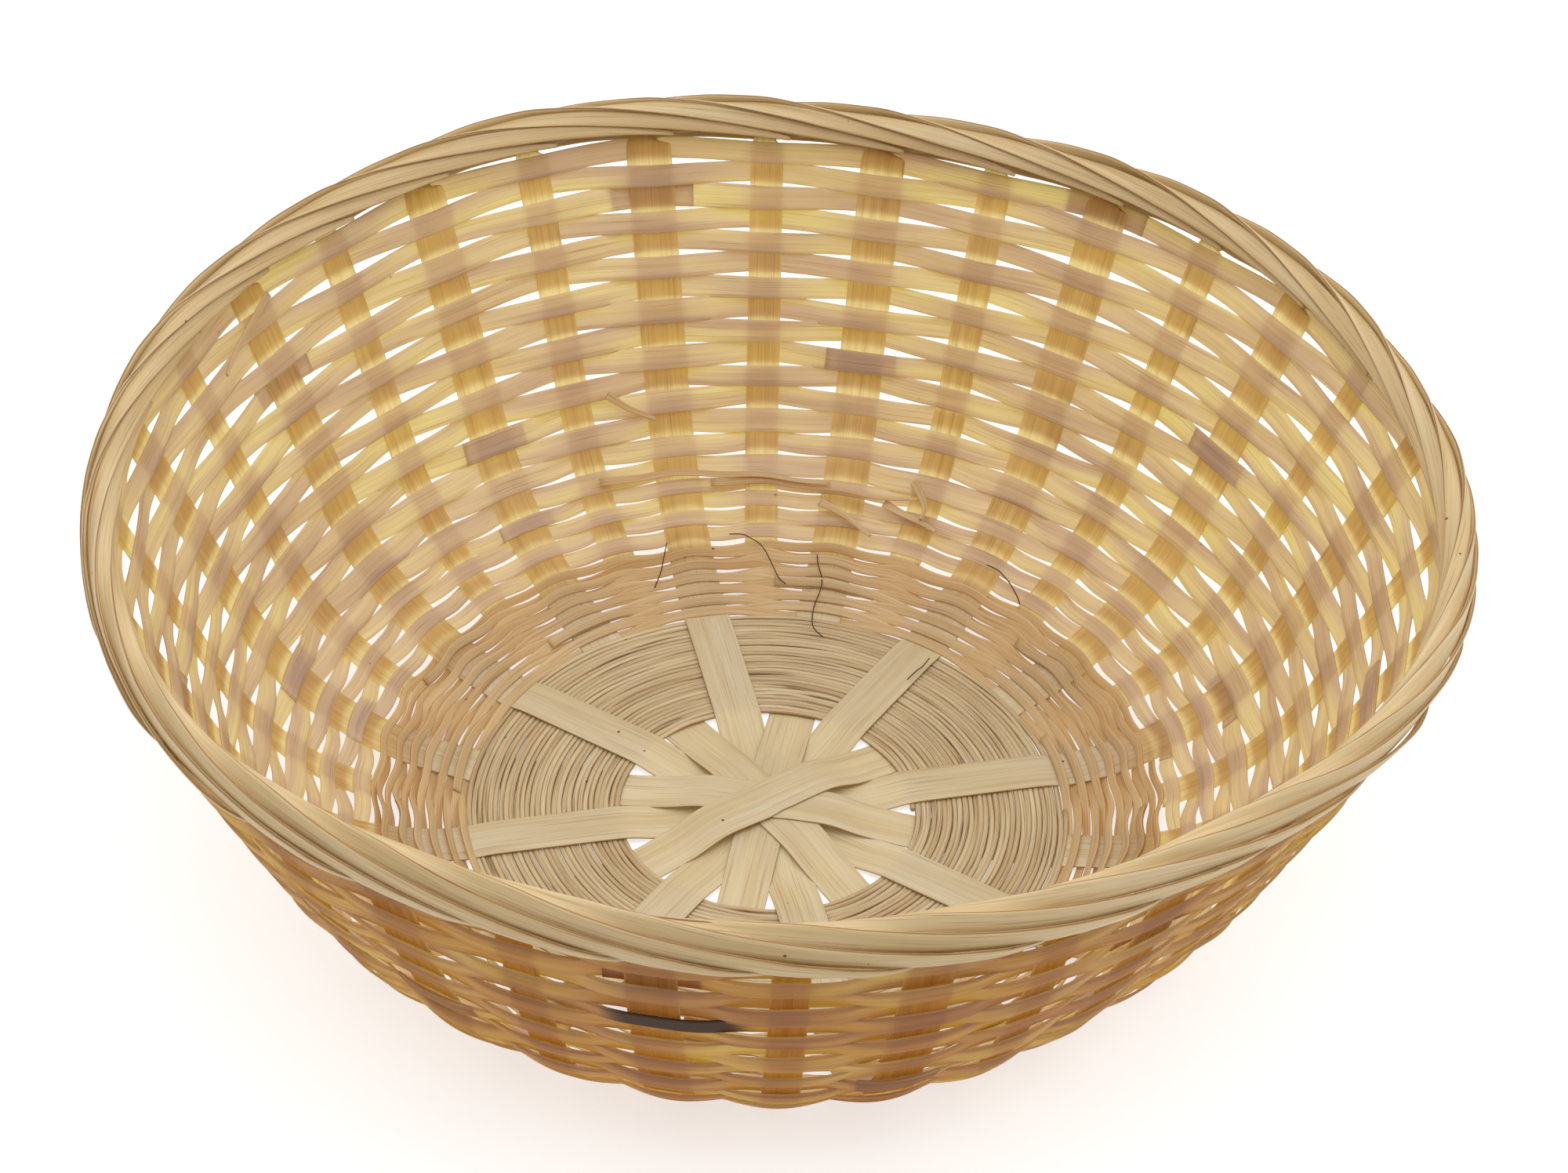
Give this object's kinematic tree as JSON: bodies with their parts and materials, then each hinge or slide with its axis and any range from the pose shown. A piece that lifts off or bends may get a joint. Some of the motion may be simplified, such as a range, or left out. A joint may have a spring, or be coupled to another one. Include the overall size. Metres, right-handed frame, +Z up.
{
  "type": "bowl",
  "caption": "Round open bowl woven from split bamboo, with crossed base strips, a fine coil binding them, a flat ribbon wall and a rolled rim.",
  "frame": {"origin": "middle of the foot, on the surface that the bowl stands on", "axes": "+Z up through the open mouth; the bowl is round, so +X and +Y are any two level directions, with a side stake of the wall standing at +X"},
  "size_m": [0.25, 0.25, 0.0819],
  "materials": {
    "strip": "dry split bamboo, matt, pale cream",
    "side_stake": "dry split bamboo, matt, pale tan",
    "ribbon": "shaved bamboo ribbon, satin, honey",
    "twined": "shaved bamboo strand, satin, golden tan",
    "coil": "thin bamboo strand, matt, pale pinkish cream"
  },
  "bodies": {
    "root": {"cross_strip_over_01": "strip", "cross_strip_over_02": "strip", "cross_strip_over_03": "strip", "cross_strip_over_04": "strip", "cross_strip_under_01": "strip", "cross_strip_under_02": "strip", "cross_strip_under_03": "strip", "cross_strip_under_04": "strip", "base_coil": "coil", "side_stake_01": "side_stake", "side_stake_02": "side_stake", "side_stake_03": "side_stake", "side_stake_04": "side_stake", "side_stake_05": "side_stake", "side_stake_06": "side_stake", "side_stake_07": "side_stake", "side_stake_08": "side_stake", "side_stake_09": "side_stake", "side_stake_10": "side_stake", "side_stake_11": "side_stake", "side_stake_12": "side_stake", "side_stake_13": "side_stake", "side_stake_14": "side_stake", "side_stake_15": "side_stake", "side_stake_16": "side_stake", "twined_strand_01": "twined", "twined_strand_02": "twined", "twined_strand_03": "twined", "twined_strand_04": "twined", "twined_strand_05": "twined", "twined_strand_06": "twined", "twined_strand_07": "twined", "twined_strand_08": "twined", "twined_strand_09": "twined", "twined_strand_10": "twined", "twined_strand_11": "twined", "twined_strand_12": "twined", "low_ribbon_01": "ribbon", "low_ribbon_02": "ribbon", "low_ribbon_03": "ribbon", "low_ribbon_04": "ribbon", "wall_ribbon_01": "ribbon", "wall_ribbon_02": "ribbon", "wall_ribbon_03": "ribbon", "wall_ribbon_04": "ribbon", "wall_ribbon_05": "ribbon", "wall_ribbon_06": "ribbon", "wall_ribbon_07": "ribbon", "wall_ribbon_08": "ribbon", "wall_ribbon_09": "ribbon", "wall_ribbon_10": "ribbon", "wall_ribbon_11": "ribbon", "wall_ribbon_12": "ribbon", "wall_ribbon_13": "ribbon", "wall_ribbon_14": "ribbon", "wall_ribbon_15": "ribbon"}
  },
  "joints": []
}
